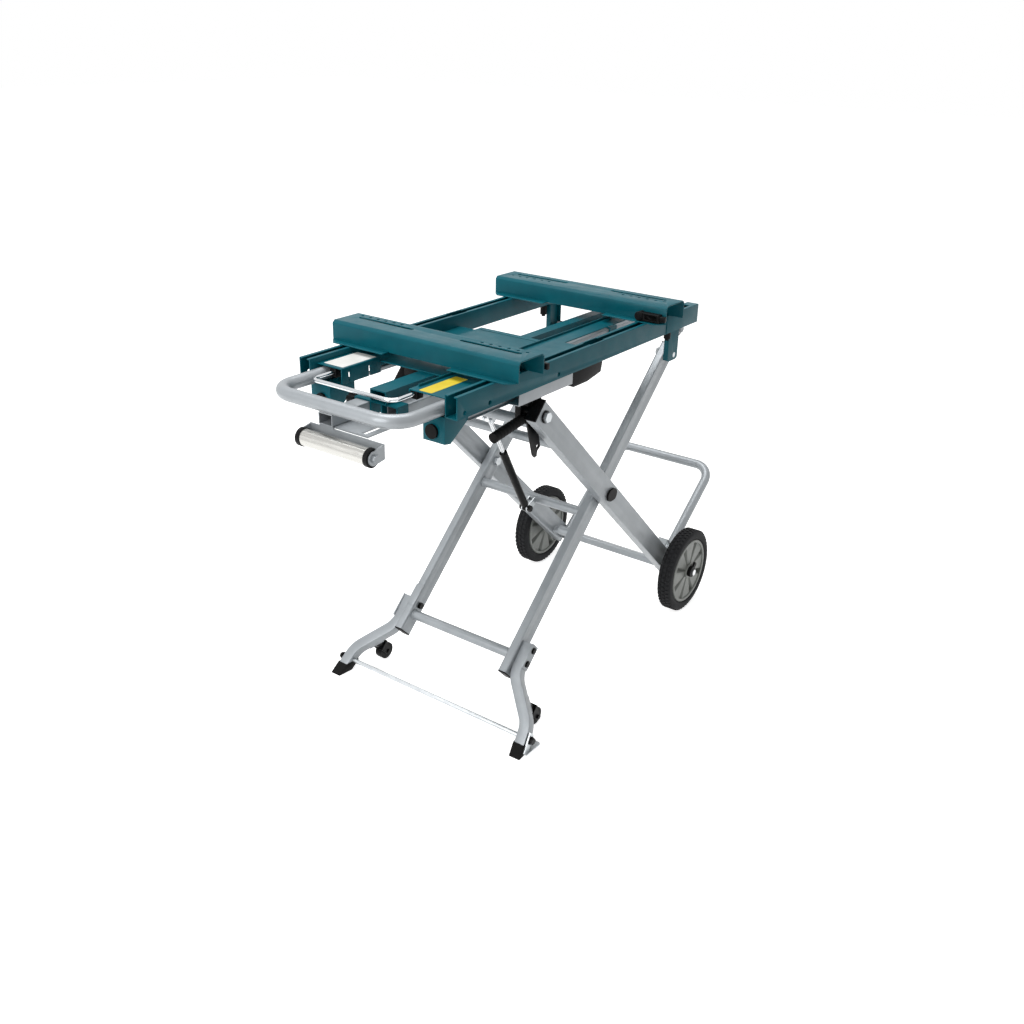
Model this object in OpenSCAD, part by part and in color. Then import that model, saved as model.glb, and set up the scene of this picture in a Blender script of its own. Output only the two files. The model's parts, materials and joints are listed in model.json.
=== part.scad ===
// Folding miter saw stand on two large wheels.
// The stand stands open on its wheels (rear, +X) and its feet (front, -X).
// X runs from the front handle to the wheels, Y across the stand and Z up
// from the floor. Places are worked out from the scissor's cross pivot at
// X = 0, and place() then moves everything so that the middle of the
// stand's floor rectangle is the origin. Millimetres throughout.

/* [Scissor] */
// Height of the fixed and the sliding leg pivot under the table
pivot_h = 684; // [674:1:694]
// Distance between the fixed and the sliding pivot with the stand open
pivot_span = 556; // [546:1:566]
// Height of the pivot where the two pairs of legs cross
cross_h = 423; // [417:1:429]
// Length of a foot leg below the cross pivot
foot_leg_low = 466; // [460:1:480]
// Depth of a wheel leg's tube, seen from the side
wheel_leg_depth = 50; // [44:1:52]
// Width of a wheel leg's tube
wheel_leg_width = 25; // [22:1:27]
// Depth of a foot leg's tube, seen from the side
foot_leg_depth = 40; // [34:1:44]
// Width of a foot leg's tube
foot_leg_width = 20; // [16:1:22]
// Distance from the centre plane to a wheel leg's inner face
wheel_leg_y = 161; // [160.5:0.5:163]
// Distance from the centre plane to a foot leg's outer face
foot_leg_y = 158; // [157:0.5:159]
// Wall of the leg tubes
leg_wall = 2; // [1.5:0.25:2.5]
// Diameter of the pivot bolts
pivot_d = 12; // [10:0.5:14]

/* [Table] */
// Height of the side rails' top
rail_top = 798; // [796:1:802]
// Height of a side rail
rail_h = 43; // [41:1:45]
// Distance from the centre plane to a side rail's inner face
rail_y = 165; // [164.5:0.5:166]
// Width of a side rail
rail_w = 28.5; // [27:0.5:31]
// Length of a side rail in front of the cross pivot
rail_front = 564; // [560:1:575]
// Length of a side rail behind the cross pivot
rail_rear = 338; // [334:1:345]
// Wall of the folded sheet
sheet = 2.5; // [2:0.25:3]
// Width of the long slot in a rail's top
slot_w = 12.5; // [10:0.5:14]
// Height of the cross plate's top
plate_top = 779; // [778:0.5:780]
// Inner edge of the long near shelf, from the centre plane
near_shelf_y = 68; // [66:1:72]
// Inner edge of the short far shelf, from the centre plane
far_shelf_y = 103; // [98:1:106]

/* [Handle and release] */
// Diameter of the handle tube
handle_d = 26; // [24:0.5:26]
// Reach of the handle tube's axis in front of the cross pivot
handle_reach = 674; // [664:1:685]
// Bend radius of the handle tube's axis
handle_bend = 48; // [40:1:60]
// Diameter of the release rod
bail_d = 8; // [6:0.5:9]
// Reach of the release rod in front of the cross pivot
bail_reach = 601; // [595:1:607]

/* [Extension arms] */
// Width of an extension arm's tube
arm_w = 34; // [30:0.5:34.5]
// Height of an extension arm's tube
arm_h = 23; // [20:0.5:24]
// Height of the arms' underside
arm_z = 726; // [724:0.5:728]
// Running clearance of an arm in its sleeves, each side
arm_fit = 0.4; // [0.3:0.1:0.8]
// Diameter of a support roller
roller_d = 32; // [28:1:36]
// Length of a support roller
roller_len = 173; // [165:1:180]
// Height of the rollers' axis
roller_z = 703; // [701:1:705]

/* [Crossbars] */
// Length of a crossbar across the stand
bar_len = 461; // [455:1:480]
// Width of a crossbar
bar_w = 81; // [76:1:88]
// Height of a crossbar above the rails
bar_h = 40.5; // [38:0.5:46]
// Place of the front crossbar's middle, from the cross pivot
front_bar_x = -394.5; // [-400:0.5:-390]
// Place of the rear crossbar's middle, from the cross pivot
rear_bar_x = 151.5; // [146:0.5:156]
// Width of the mounting slots in a crossbar
bar_slot_w = 9; // [7:0.5:10]
// Length of the mounting slots in a crossbar
bar_slot_len = 143; // [130:1:150]

/* [Wheels and feet] */
// Diameter of a wheel over its tyre
wheel_d = 216.8; // [210:0.4:220]
// Width of a tyre
tyre_w = 38; // [34:0.5:40]
// Distance of a tyre's middle from the centre plane
wheel_y = 222; // [221:0.5:226]
// Diameter of the wheels' axle
axle_d = 16; // [12:0.5:18]
// Side of the square foot tubes
foot_side = 24; // [22:0.5:26]
// Diameter of a caster wheel
caster_d = 40; // [36:1:42]

/* [Gas strut] */
// Diameter of the strut's cylinder
strut_d = 18; // [15:0.5:19]
// Diameter of the strut's rod
strut_rod_d = 9; // [7:0.5:10]

/* [Hidden] */
$fn = 48;

teal = [0.0, 0.37, 0.43];
grey = [0.66, 0.68, 0.69];
pale = [0.80, 0.81, 0.81];
black = [0.06, 0.06, 0.07];
steel = [0.72, 0.73, 0.74];

// radial play of a turning pin in its bore, and the gap left between
// faces that pass or carry each other
play = 0.05;
gap = 0.3;

leg_angle = atan2(pivot_h - cross_h, pivot_span / 2);
leg_arm = norm([pivot_h - cross_h, pivot_span / 2]);
wheel_r = wheel_d / 2;
axle_s = (cross_h - wheel_r) / sin(leg_angle);
slide_pivot = [-pivot_span / 2, 0, pivot_h];
fixed_pivot = [pivot_span / 2, 0, pivot_h];
cross_pivot = [0, 0, cross_h];
axle = [axle_s * cos(leg_angle), 0, wheel_r];
wheel_leg_out = wheel_leg_y + wheel_leg_width;
foot_leg_in = foot_leg_y - foot_leg_width;
cross_tube_d = 22;

rail_z = rail_top - rail_h;
rail_out = rail_y + rail_w;
roller_x = 689;
rear_roller_x = 433;
roller_ring_d = roller_d + 3;
front_end = roller_x + roller_ring_d / 2;

loop_d = 24;
loop_y = wheel_leg_y - loop_d / 2;
loop_angle = 37.8;
loop_start = [343, 0, 84];
loop_x = 605;
loop_end = loop_x + loop_d / 2;
mid_x = (loop_end - front_end) / 2;

module place() { translate([-mid_x, 0, 0]) children(); }

// the same thing on the near (-Y) and the far (+Y) side
module both_sides() {
    children();
    mirror([0, 1, 0]) children();
}

module block(low, high) { translate(low) cube(high - low); }

// a rod along Y between two places
module rod_y(d, y0, y1, at = [0, 0, 0]) {
    translate([at[0], y1, at[2]]) rotate([90, 0, 0]) cylinder(d = d, h = y1 - y0);
}

module rod_z(d, z0, z1, at = [0, 0, 0]) {
    translate([at[0], at[1], z0]) cylinder(d = d, h = z1 - z0);
}

module rod_x(d, x0, x1, at = [0, 0, 0]) {
    translate([x0, at[1], at[2]]) rotate([0, 90, 0]) cylinder(d = d, h = x1 - x0);
}

// an outline in X and Z, thick in Y
module slab_y(points, y0, y1) {
    translate([0, y1, 0]) rotate([90, 0, 0]) linear_extrude(y1 - y0) polygon(points);
}

// an outline in Y and Z, long in X
module slab_x(points, x0, x1) {
    translate([x0, 0, 0]) rotate([90, 0, 90]) linear_extrude(x1 - x0) polygon(points);
}

// a plate in X and Z with round ends, between two pin centres
module link_y(a, b, ra, rb, y0, y1) {
    run = norm(b - a);
    turn = atan2(a[2] - b[2], b[0] - a[0]);
    lean = asin((ra - rb) / run);
    translate(a) rotate([0, turn, 0]) {
        rod_y(2 * ra, y0, y1);
        translate([run, 0, 0]) rod_y(2 * rb, y0, y1);
        slab_y([[ra * sin(lean), ra * cos(lean)],
                [run + rb * sin(lean), rb * cos(lean)],
                [run + rb * sin(lean), -rb * cos(lean)],
                [ra * sin(lean), -ra * cos(lean)]], y0, y1);
    }
}

// runs children with local X down a wheel leg, or up a foot leg
module on_wheel_leg() { translate(cross_pivot) rotate([0, leg_angle, 0]) children(); }
module on_foot_leg() { translate(cross_pivot) rotate([0, -leg_angle, 0]) children(); }

function wheel_leg_point(s, n) = [
    s * cos(leg_angle) + n * sin(leg_angle), 0,
    cross_h - s * sin(leg_angle) + n * cos(leg_angle)];
function foot_leg_point(s, n) = [
    s * cos(leg_angle) - n * sin(leg_angle), 0,
    cross_h + s * sin(leg_angle) + n * cos(leg_angle)];

module round_tube_y(d, wall, y0, y1, at) {
    difference() {
        rod_y(d, y0, y1, at);
        rod_y(d - 2 * wall, y0 - 1, y1 + 1, at);
    }
}

// a hexagon nut or bolt head, its axis along Y
module hex_y(across, y0, y1, at) {
    c = across / sqrt(3);
    translate([at[0], 0, at[2]])
        slab_y([for (k = [0:5]) c * [cos(60 * k), sin(60 * k)]], y0, y1);
}

// Table rails

notch_x = -127;
notch_len = 51;
rail_hole_d = 9;
rail_holes = [-543, -470, -247];

module rail_shape() {
    difference() {
        block([-rail_front, rail_y, rail_z], [rail_rear, rail_out, rail_top]);
        // hollow, and open at the front end
        block([-rail_front - 1, rail_y + sheet, rail_z + sheet],
              [rail_rear - sheet, rail_out - sheet, rail_top - sheet]);
        slot_mid = rail_y + rail_w / 2;
        block([-rail_front - 1, slot_mid - slot_w / 2, rail_top - 2 * sheet],
              [rail_rear - 30, slot_mid + slot_w / 2, rail_top + 1]);
        block([notch_x, slot_mid - slot_w / 2 - 3.5, rail_top - 2 * sheet],
              [notch_x + notch_len, slot_mid + slot_w / 2 + 3.5, rail_top + 1]);
        for (x = rail_holes)
            rod_y(rail_hole_d, rail_out - 2 * sheet, rail_out + 1, [x, 0, rail_z + 9.5]);
    }
}

module rail_near() { color(teal) mirror([0, 1, 0]) rail_shape(); }
module rail_far() { color(teal) rail_shape(); }

// Sheet-metal plates of the table

cross_x0 = -436;
cross_x1 = -107;
far_step = 8;
guide_y0 = -35;
guide_rear_y0 = -22;
guide_y1 = 4;
guide_z = arm_z + arm_h;

module cross_plate() color(teal) {
    low = plate_top - sheet;
    step_y = 105;
    difference() {
        union() {
            block([cross_x0, -rail_y, low], [cross_x1, step_y, plate_top]);
            block([cross_x0, step_y - sheet, low - far_step], [cross_x1, step_y, plate_top]);
            block([cross_x0, step_y - sheet, low - far_step], [cross_x1, rail_y, plate_top - far_step]);
            block([cross_x1 - sheet, -rail_y, plate_top - 24], [cross_x1, rail_y, plate_top - far_step]);
            block([cross_x1 - sheet, -rail_y, plate_top - 24], [cross_x1, step_y, plate_top]);
        }
        // the rear flange stops short of the arm guide
        block([cross_x1 - 10, guide_y0 - 1, plate_top - 30], [cross_x1 + 1, guide_y1 + 1, low]);
        // a shallow pressed line in front of the rear edge
        block([cross_x1 - 18, -60, plate_top - 0.8], [cross_x1 - 15, 95, plate_top + 1]);
    }
}

member_w = 20;

module rear_member() color(teal) difference() {
    low = rail_z + 4;
    high = rail_top - 4;
    block([rail_rear - member_w, -rail_y, low], [rail_rear, rail_y, high]);
    block([rail_rear - member_w + sheet, -rail_y - 1, low + sheet],
          [rail_rear - sheet, rail_y + 1, high - sheet]);
}

shelf_top = 784.5;
near_shelf_x0 = -547;
near_shelf_x1 = 143;

module near_shelf() color(teal) {
    low = shelf_top - sheet;
    strip_y = near_shelf_y + 45;
    union() {
        block([near_shelf_x0, -rail_y, low], [cross_x1, -near_shelf_y, shelf_top]);
        // only a narrow strip goes on behind the cross plate
        block([near_shelf_x0, -strip_y, low], [near_shelf_x1, -near_shelf_y, shelf_top]);
        block([near_shelf_x0 + 20, -near_shelf_y - 8, low],
              [near_shelf_x1, -near_shelf_y - 8 + sheet, shelf_top + 5]);
        block([near_shelf_x0, -near_shelf_y - sheet, low - 2.9],
              [near_shelf_x1, -near_shelf_y, shelf_top]);
    }
}

far_shelf_x0 = -545;
far_shelf_x1 = -437;

module far_shelf() color(teal) difference() {
    top = shelf_top + 2.5;
    union() {
        block([far_shelf_x0, far_shelf_y - sheet, top - sheet], [far_shelf_x1, rail_y, top]);
        block([far_shelf_x0, far_shelf_y - sheet, top - 31], [far_shelf_x1, far_shelf_y, top]);
    }
    for (x = [far_shelf_x0 + 18, far_shelf_x1 - 34])
        block([x, far_shelf_y - 2 * sheet, top - 40], [x + 4.5, far_shelf_y + 1, top - 10]);
}

// Front blocks with their plugs

block_x0 = -rail_front;
block_x1 = block_x0 + 67;
block_y0 = rail_y - 50;
block_low = rail_z - 51;
plug_y = 137;
plug_z = 724;

module front_blocks() color(teal) both_sides() difference() {
    slab_y([[block_x0, rail_z], [block_x0, block_low], [block_x0 + 17, block_low - 3],
            [block_x1, rail_z - 21], [block_x1, rail_z]], block_y0, rail_y);
    slab_y([[block_x0 + sheet, rail_z - sheet], [block_x0 + sheet, block_low - 20],
            [block_x1 - sheet, block_low - 20], [block_x1 - sheet, rail_z - sheet]],
           block_y0 + sheet, rail_y - sheet);
    rod_x(20, block_x0 - 1, block_x0 + 10, [0, plug_y, plug_z]);
}

module table_plugs() color(black) both_sides() {
    // round plug in the front block
    rod_x(27, block_x0 - 5, block_x0, [0, plug_y, plug_z]);
    rod_x(20 - 2 * play, block_x0 - 1, block_x0 + 14, [0, plug_y, plug_z]);
    // rubber bump behind the fixed leg's post
    rod_z(16, rail_z - 22, rail_z, [fixed_pivot[0] - 44, rail_y + 8, 0]);
    rod_z(9, rail_z - 27, rail_z - 20, [fixed_pivot[0] - 44, rail_y + 8, 0]);
}

// Handle tube, bent from one length

handle_y = rail_y - gap / 2 - handle_d / 2;
handle_z = rail_z + handle_d / 2 + gap / 2;
handle_back = -464;

module bent_u(d, reach_x, back_x, half_w, bend, z) {
    translate([0, 0, z]) {
        for (side = [-1, 1]) {
            rod_x(d, reach_x + bend, back_x, [0, side * half_w, 0]);
            translate([reach_x + bend, side * (half_w - bend), 0])
                rotate([0, 0, side > 0 ? 90 : 180])
                    rotate_extrude(angle = 90) translate([bend, 0]) circle(d = d);
        }
        rod_y(d, bend - half_w, half_w - bend, [reach_x, 0, 0]);
    }
}

module handle() color(grey) difference() {
    bent_u(handle_d, -handle_reach, handle_back, handle_y, handle_bend, handle_z);
    for (side = [-1, 1])
        rod_x(handle_d - 5, -handle_reach + handle_bend + 20, handle_back + 1, [0, side * handle_y, handle_z]);
}

// Guide channels for the carriage, stops and posts under the rails

guide_x0 = block_x1;
guide_x1 = -192;
wide_x0 = -375;
channel_out = 191;
channel_in = 160;
channel_h = 24;
channel_z = rail_z - channel_h;
channel_wall = 2;

// a full channel at the rear, and only its inner track in front of it
module guide_channels() color(grey) both_sides() {
    block([wide_x0, channel_out - channel_wall, channel_z], [guide_x1, channel_out, rail_z]);
    block([wide_x0, channel_in, channel_z], [guide_x1, channel_out, channel_z + channel_wall]);
    block([guide_x0, channel_in, channel_z], [guide_x1, channel_in + 8, channel_z + channel_wall]);
    block([guide_x0, channel_in, channel_z], [guide_x1, channel_in + channel_wall, channel_z + 8]);
}

module stop_blocks() color(black) both_sides()
    slab_y([[guide_x1, rail_z], [guide_x1, rail_z - 27], [guide_x1 + 7, rail_z - 33],
            [guide_x1 + 59, rail_z - 33], [guide_x1 + 110, rail_z - 24],
            [guide_x1 + 114, rail_z - 6], [guide_x1 + 114, rail_z]],
           channel_in + 2, channel_out - 1);

post_x0 = fixed_pivot[0] - 32;
post_x1 = fixed_pivot[0] + 16;
post_y0 = foot_leg_y + 2;
post_y1 = post_y0 + 12;
post_low = pivot_h - 12;

module pivot_posts() color(teal) both_sides() difference() {
    union() {
        block([post_x0, post_y0, pivot_h], [post_x1, post_y1, rail_z]);
        block([post_x0, post_y0, post_low + 4], [post_x1, post_y1, pivot_h]);
        slab_y([[post_x0, post_low + 4], [post_x0 + 8, post_low],
                [post_x1 - 8, post_low], [post_x1, post_low + 4]], post_y0, post_y1);
    }
    block([post_x0 + sheet, post_y0 - 1, post_low - 1], [post_x1 - sheet, post_y1 - 3, rail_z + 1]);
    rod_y(pivot_d, post_y0 - 1, post_y1 + 1, fixed_pivot);
}

// Central guide for the extension arms, with a sleeve round each arm at
// three places

front_arm_y = 8;
rear_arm_y = -57;
sleeve_w = 30;
sleeve_x = [-570, -142, 166];
sleeve_wall = 3;

module sleeve(x, y0) {
    difference() {
        block([x, y0 - arm_fit - sleeve_wall, arm_z - arm_fit - sleeve_wall],
              [x + sleeve_w, y0 + arm_w + arm_fit + sleeve_wall, arm_z + arm_h + arm_fit + sleeve_wall]);
        block([x - 1, y0 - arm_fit, arm_z - arm_fit],
              [x + sleeve_w + 1, y0 + arm_w + arm_fit, arm_z + arm_h + arm_fit]);
    }
}

knob_stem_d = 8;
knob_z = arm_z + arm_h / 2;

module arm_guide() color(teal) difference() {
    union() {
        difference() {
            union() {
                block([-572, guide_y0, guide_z + 2], [cross_x1, guide_y1, plate_top - sheet]);
                block([-572, guide_rear_y0, guide_z + 2], [rail_rear - 20, guide_y1, plate_top - sheet]);
            }
            block([-573, guide_y0 + sheet, guide_z + 2 + sheet],
                  [cross_x1 - sheet, guide_y1 - sheet, plate_top - 2 * sheet]);
            block([-573, guide_rear_y0 + sheet, guide_z + 2 + sheet],
                  [rail_rear, guide_y1 - sheet, plate_top - 2 * sheet]);
        }
        for (x = sleeve_x)
            sleeve(x, rear_arm_y);
        // the front arm ends before the rearmost place
        for (x = [sleeve_x[0], sleeve_x[1]]) {
            sleeve(x, front_arm_y);
            block([x, guide_y0, guide_z + arm_fit], [x + sleeve_w, front_arm_y, guide_z + arm_fit + 3]);
        }
    }
    rod_y(knob_stem_d + 2 * play, front_arm_y + arm_w, front_arm_y + arm_w + 10,
          [sleeve_x[0] + sleeve_w / 2, 0, knob_z]);
    rod_y(knob_stem_d + 2 * play, rear_arm_y + arm_w, rear_arm_y + arm_w + 10,
          [sleeve_x[2] + sleeve_w / 2, 0, knob_z]);
}

// a lobed hand knob on a stem that presses on the arm's side
module hand_knob(at, y0, y1, r) {
    difference() {
        union() {
            rod_y(knob_stem_d, y0, y1 + 2, at);
            rod_y(2 * r, y1, y1 + 17, at);
        }
        for (k = [0:5])
            translate([at[0] + (r + 3) * cos(60 * k), 0, at[2] + (r + 3) * sin(60 * k)])
                rod_y(10, y1 - 1, y1 + 18);
    }
}

module front_arm_knob() color(black)
    hand_knob([sleeve_x[0] + sleeve_w / 2, 0, knob_z], front_arm_y + arm_w + gap,
              front_arm_y + arm_w + 12, 13);
module rear_arm_knob() color(black)
    hand_knob([sleeve_x[2] + sleeve_w / 2, 0, knob_z], rear_arm_y + arm_w + gap,
              rear_arm_y + arm_w + 20, 13);

// Extension arms and their rollers

front_arm_x0 = -667;
front_arm_x1 = 143;
rear_arm_x0 = -557;
rear_arm_x1 = 404;
bracket_y0 = -112;
bracket_wall = 3;

module arm_tube(x0, x1, y0) difference() {
    block([x0, y0, arm_z], [x1, y0 + arm_w, arm_z + arm_h]);
    block([x0 - 1, y0 + 2, arm_z + 2], [x1 + 1, y0 + arm_w - 2, arm_z + arm_h - 2]);
}

module front_arm() color(grey) arm_tube(front_arm_x0, front_arm_x1, front_arm_y);
module rear_arm() color(grey) arm_tube(rear_arm_x0, rear_arm_x1, rear_arm_y);

// the bent plate that carries a roller below the end of an arm, drawn for
// the front roller with the arm at arm_y0
module roller_bracket(arm_y0, y0) {
    y1 = y0 + roller_len + 2 * gap + 2 * bracket_wall;
    x_back = -roller_x + 27;
    top = roller_z + roller_ring_d / 2 + 1.5;
    difference() {
        union() {
            block([x_back - bracket_wall, y0, roller_z - 9], [x_back, y1, top]);
            block([x_back - bracket_wall, arm_y0, top - 1], [x_back, arm_y0 + arm_w, arm_z]);
            block([x_back - bracket_wall, arm_y0, arm_z - bracket_wall],
                  [x_back + 45, arm_y0 + arm_w, arm_z]);
            for (y = [y0, y1 - bracket_wall]) {
                rod_y(26, y, y + bracket_wall, [-roller_x, 0, roller_z]);
                slab_y([[-roller_x, roller_z + 13], [x_back, top],
                        [x_back, roller_z - 9], [-roller_x, roller_z - 13]], y, y + bracket_wall);
            }
        }
        rod_y(8, y0 - 1, y1 + 1, [-roller_x, 0, roller_z]);
    }
    // axle bolt with its head and nut
    rod_y(8, y0 - 6, y1 + 6, [-roller_x, 0, roller_z]);
    hex_y(13, y0 - 6, y0, [-roller_x, 0, roller_z]);
    hex_y(13, y1, y1 + 6, [-roller_x, 0, roller_z]);
}

// plastic plug in an arm's open end
module arm_plug(arm_y0) {
    block([front_arm_x0 - 3, arm_y0, arm_z], [front_arm_x0, arm_y0 + arm_w, arm_z + arm_h]);
    block([front_arm_x0, arm_y0 + 2.1, arm_z + 2.1],
          [front_arm_x0 + 15, arm_y0 + arm_w - 2.1, arm_z + arm_h - 2.1]);
}

ring_len = 9;

module roller_tube(y0) difference() {
    rod_y(roller_d, y0 + ring_len, y0 + roller_len - ring_len, [-roller_x, 0, roller_z]);
    rod_y(roller_d - 4, y0, y0 + roller_len, [-roller_x, 0, roller_z]);
}

module roller_rings(y0) for (y = [y0, y0 + roller_len - ring_len]) difference() {
    union() {
        rod_y(roller_ring_d, y, y + ring_len, [-roller_x, 0, roller_z]);
        rod_y(roller_d - 4 - 2 * play, y - (y > y0 ? 6 : 0), y + ring_len + (y > y0 ? 0 : 6),
              [-roller_x, 0, roller_z]);
    }
    rod_y(8 + 2 * play, y - 7, y + ring_len + 7, [-roller_x, 0, roller_z]);
}

front_roller_y = bracket_y0 + bracket_wall + gap;
rear_bracket_y0 = -89.5;
rear_roller_y = rear_bracket_y0 + bracket_wall + gap;

module front_roller_bracket() color(grey) {
    roller_bracket(front_arm_y, bracket_y0);
    // slotted plate that goes on beside the arm
    difference() {
        block([-roller_x + 27, -72, arm_z - bracket_wall], [-592, front_arm_y + 1, arm_z]);
        block([-654, -60, arm_z - bracket_wall - 1], [-604, -50, arm_z + 1]);
    }
}
module front_roller() color(steel) roller_tube(front_roller_y);
module front_roller_rings() color(black) {
    roller_rings(front_roller_y);
}

// the rear roller is the front one turned round
module turned() {
    shift_x = rear_roller_x - roller_x;
    shift_y = front_arm_y + rear_arm_y + arm_w;
    translate([shift_x, shift_y, 0]) rotate([0, 0, 180]) children();
}

module rear_roller_bracket() color(grey) turned() roller_bracket(front_arm_y, rear_bracket_y0);
module rear_roller() color(steel) turned() roller_tube(rear_roller_y);
module rear_roller_rings() color(black) turned() roller_rings(rear_roller_y);

// Release rod in front of the shelves

bail_z = 776;
bail_y0 = -78;
bail_y1 = 124;
bail_bend = 18;
bail_back = -470;

module bail_rod() color(steel) {
    mid = (bail_y0 + bail_y1) / 2;
    translate([0, mid, 0])
        bent_u(bail_d, -bail_reach, bail_back, (bail_y1 - bail_y0) / 2, bail_bend, bail_z);
}

module bail_clips() color(black) for (y = [bail_y0, bail_y1]) difference() {
    block([-545, y - 7.5, bail_z - 10], [-527, y + 7.5, shelf_top - sheet + (y > 0 ? 2.5 : 0)]);
    rod_x(bail_d + 2 * play, -546, -526, [0, y, bail_z]);
}

// Crossbars

bar_wall = 2.5;
bar_top = rail_top + bar_h;
bar_index_d = 7;
bar_lip = 20;

module crossbar(slot_dx, hole_dx, clamp_side) {
    half = bar_len / 2;
    difference() {
        union() {
            slab_y([[-bar_w / 2, rail_top], [-bar_w / 2, bar_top - 6], [-bar_w / 2 + 6, bar_top],
                    [bar_w / 2 - 6, bar_top], [bar_w / 2, bar_top - 6], [bar_w / 2, rail_top]],
                   -half, half);
            both_sides() bar_lips(half);
        }
        slab_y([[-bar_w / 2 + bar_wall, rail_top - 1], [-bar_w / 2 + bar_wall, bar_top - 7],
                [-bar_w / 2 + 7, bar_top - bar_wall], [bar_w / 2 - 7, bar_top - bar_wall],
                [bar_w / 2 - bar_wall, bar_top - 7], [bar_w / 2 - bar_wall, rail_top - 1]],
               -half - 1, half + 1);
        both_sides() {
            for (y = [130 - (bar_slot_len - bar_slot_w) / 2, 130 + (bar_slot_len - bar_slot_w) / 2])
                rod_z(bar_slot_w, bar_top - 5, bar_top + 1, [slot_dx, y, 0]);
            block([slot_dx - bar_slot_w / 2, 130 - (bar_slot_len - bar_slot_w) / 2, bar_top - 5],
                  [slot_dx + bar_slot_w / 2, 130 + (bar_slot_len - bar_slot_w) / 2, bar_top + 1]);
            for (k = [0:5])
                rod_z(bar_index_d, bar_top - 5, bar_top + 1, [hole_dx, 100 + 21 * k, 0]);
        }
        translate([clamp_side * bar_w / 2, 0, 0])
            rod_x(clamp_pin_d + 2 * play, -5, 5, [0, clamp_y + clamp_pin_dy, clamp_pin_z]);
    }
}

// the out-turned lips that lie on a rail, with a cut outer corner
module bar_lips(half) {
    translate([0, 0, rail_top]) linear_extrude(bar_wall)
        for (side = [-1, 1])
            polygon([[side * (bar_w / 2 - 1), 80], [side * (bar_w / 2 + bar_lip), 80],
                     [side * (bar_w / 2 + bar_lip), half - 19],
                     [side * (bar_w / 2 + 4), half - 3], [side * (bar_w / 2 - 1), half - 3]]);
}

module front_crossbar() color(teal) translate([front_bar_x, 0, 0]) crossbar(8, 22, 1);
module rear_crossbar() color(teal) translate([rear_bar_x, 0, 0]) crossbar(10.5, -5.5, -1);

// black clamp lever on a crossbar's wall, drawn for the wall at +X
clamp_y = -192;
clamp_pin_d = 8;
clamp_pin_dy = 20;
clamp_pin_z = rail_top + 13.5;

module clamp_lever() {
    x0 = bar_w / 2 + gap;
    difference() {
        union() {
            block([x0, clamp_y - 29, rail_top + 4], [x0 + 16, clamp_y + clamp_pin_dy, rail_top + 22]);
            rod_x(20, x0, x0 + 18, [0, clamp_y + clamp_pin_dy, clamp_pin_z]);
            block([x0 + 4, clamp_y - 42, rail_top + 7], [x0 + 13, clamp_y - 28, rail_top + 19]);
        }
        block([x0 + 13, clamp_y - 22, rail_top + 8], [x0 + 17, clamp_y + 6, rail_top + 18]);
    }
    // pivot bolt through the wall
    rod_x(clamp_pin_d, bar_w / 2 - 12, x0 + 1, [0, clamp_y + clamp_pin_dy, clamp_pin_z]);
}

module front_clamp() color(black) translate([front_bar_x, 0, 0]) clamp_lever();
module rear_clamp() color(black) translate([rear_bar_x, 0, 0]) mirror([1, 0, 0]) clamp_lever();

// Pins of the fixed leg pivots, welded flush into the posts

module table_bolts() color(steel) both_sides() {
    rod_y(pivot_d, foot_leg_in - 8, post_y1, fixed_pivot);
    hex_y(19, foot_leg_in - 10, foot_leg_in - gap, fixed_pivot);
}

// Wheel frame: legs, cross tubes and the rear loop

wheel_leg_top = -leg_arm - 22;
wheel_leg_end = axle_s + 30;

module leg_tube(x0, x1, depth, width, y0) difference() {
    block([x0, y0, -depth / 2], [x1, y0 + width, depth / 2]);
    block([x0 - 1, y0 + leg_wall, -depth / 2 + leg_wall],
          [x1 + 1, y0 + width - leg_wall, depth / 2 - leg_wall]);
}

module wheel_leg() difference() {
    on_wheel_leg() leg_tube(wheel_leg_top, wheel_leg_end, wheel_leg_depth, wheel_leg_width, wheel_leg_y);
    for (at = [slide_pivot, cross_pivot])
        rod_y(pivot_d, wheel_leg_y - 1, wheel_leg_out + 1, at);
    rod_y(axle_d, wheel_leg_y - 1, wheel_leg_out + 1, axle);
}

module wheel_leg_near() { color(grey) mirror([0, 1, 0]) wheel_leg(); }
module wheel_leg_far() { color(grey) wheel_leg(); }

top_tube = wheel_leg_point(-leg_arm + 55, 0);
mid_tube = wheel_leg_point(-206, 9);
low_tube = wheel_leg_point(axle_s - 22, -10);

module wheel_tubes() color(grey) {
    round_tube_y(cross_tube_d + 2, 2, -wheel_leg_y, wheel_leg_y, top_tube);
    round_tube_y(cross_tube_d - 1, 2, -wheel_leg_y, wheel_leg_y, mid_tube);
    round_tube_y(20, 2, -wheel_leg_y, wheel_leg_y, low_tube);
}

module rear_loop() color(grey) {
    reach = (loop_x - loop_start[0]) / cos(loop_angle);
    translate(loop_start) rotate([0, -loop_angle, 0]) difference() {
        mirror([1, 0, 0]) bent_u(loop_d, -reach, 0, loop_y, 45, 0);
        for (side = [-1, 1])
            rod_x(loop_d - 4, -1, reach - 60, [0, side * loop_y, 0]);
    }
}

// Gas strut pins, the ears that hold them and a small bracket on a leg

strut_y = -8;
eye_w = 10;
eye_d = 17;
ear_t = 3;
strut_pin_d = 8;
strut_low = foot_leg_point(-95, 14);
strut_top = wheel_leg_point(-303, -6);
strut_tube = foot_leg_point(-61, 1);

module ears(tube_at, tube_d, pin_at) difference() {
    for (y = [strut_y - eye_w / 2 - gap - ear_t, strut_y + eye_w / 2 + gap])
        link_y(tube_at, pin_at, 9, 8, y, y + ear_t);
    rod_y(tube_d, -40, 40, tube_at);
    rod_y(strut_pin_d, -40, 40, pin_at);
}

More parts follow.
